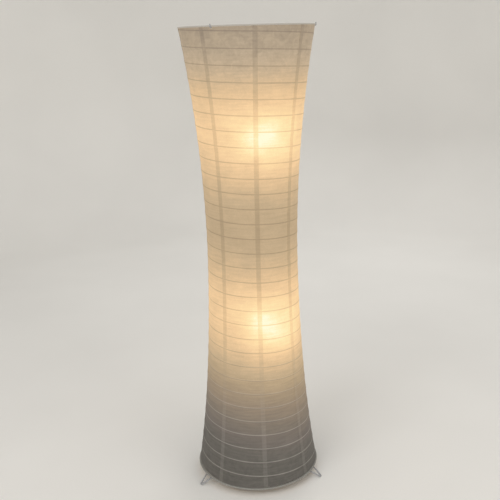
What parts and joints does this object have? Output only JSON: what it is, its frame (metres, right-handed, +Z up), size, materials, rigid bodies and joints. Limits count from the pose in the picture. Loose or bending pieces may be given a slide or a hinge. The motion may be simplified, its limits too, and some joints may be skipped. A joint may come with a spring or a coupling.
{
  "type": "paper lantern floor lamp",
  "caption": "Tall waisted paper lantern floor lamp: lapped paper gores on a spiral rib wire between wire rings, on a slim pole with side-mounted bulbs and bent wire feet.",
  "frame": {"origin": "on the floor, on the axis of the pole and of the paper shade", "axes": "+Z up the pole; the picture's camera looks along +Y from the front, and +X is on its right, the side that both bulbs stand on"},
  "size_m": [0.3535, 0.3728, 1.25],
  "materials": {
    "lantern_paper": "matt translucent, finely wrinkled",
    "coated_steel": "satin pale grey powder coat",
    "ring_wire": "satin",
    "rib_wire": "satin pale coat",
    "zinc_steel": "bright zinc plate",
    "rubber_bush": "matt",
    "white_plastic": "fine satin",
    "holder_ceramic": "unglazed",
    "contact_brass": "bare",
    "lead_sheath": "smooth sheath",
    "cap_metal": "bright",
    "led_board": "white mask with yellow leds",
    "opal_dome": "opal, lit"
  },
  "bodies": {
    "stand": {"paper_gore_1": "lantern_paper", "paper_gore_2": "lantern_paper", "paper_gore_3": "lantern_paper", "paper_gore_4": "lantern_paper", "paper_gore_5": "lantern_paper", "paper_gore_6": "lantern_paper", "paper_gore_7": "lantern_paper", "paper_gore_8": "lantern_paper", "top_binding": "lantern_paper", "foot_wire_1": "coated_steel", "foot_wire_2": "coated_steel", "foot_wire_3": "coated_steel", "spider_arm_1": "coated_steel", "spider_arm_2": "coated_steel", "spider_arm_3": "coated_steel", "pole_lower": "coated_steel", "pole_middle": "coated_steel", "pole_upper": "coated_steel", "base_plate": "coated_steel", "base_cup": "coated_steel", "pole_sleeves": "coated_steel", "spider_hub": "coated_steel", "upper_bracket": "coated_steel", "lower_bracket": "coated_steel", "top_ring": "ring_wire", "rib_wire": "rib_wire", "base_screws": "zinc_steel", "pole_nut": "zinc_steel", "cap_nut": "zinc_steel", "clamp_screws": "zinc_steel", "nipple_nuts": "zinc_steel", "upper_nipple": "zinc_steel", "lower_nipple": "zinc_steel", "cord_bush": "rubber_bush", "upper_holder_shell": "white_plastic", "upper_holder_core": "holder_ceramic", "upper_screw_shell": "contact_brass", "upper_contact_spring": "contact_brass", "upper_lead": "lead_sheath", "lower_holder_shell": "white_plastic", "lower_holder_core": "holder_ceramic", "lower_screw_shell": "contact_brass", "lower_contact_spring": "contact_brass", "lower_lead": "lead_sheath"},
    "shade_hem": {"bottom_ring": "ring_wire", "bottom_binding": "lantern_paper"},
    "upper_bulb": {"upper_bulb_cap": "cap_metal", "upper_bulb_body": "white_plastic", "upper_led_board": "led_board", "upper_bulb_dome": "opal_dome"},
    "lower_bulb": {"lower_bulb_cap": "cap_metal", "lower_bulb_body": "white_plastic", "lower_led_board": "led_board", "lower_bulb_dome": "opal_dome"}
  },
  "joints": [
    {"name": "shade_lift", "type": "slide", "parent": "stand", "child": "shade_hem", "axis": [0, 0, 1], "range_m": [0, 1.1007], "deforming": ["paper_gore_1", "paper_gore_2", "paper_gore_3", "paper_gore_4", "paper_gore_5", "paper_gore_6", "paper_gore_7", "paper_gore_8", "rib_wire"]},
    {"name": "upper_bulb_out", "type": "slide", "parent": "stand", "child": "upper_bulb", "axis": [0, 0, 1], "range_m": [0, 0.03]},
    {"name": "lower_bulb_out", "type": "slide", "parent": "stand", "child": "lower_bulb", "axis": [0, 0, 1], "range_m": [0, 0.03]}
  ]
}
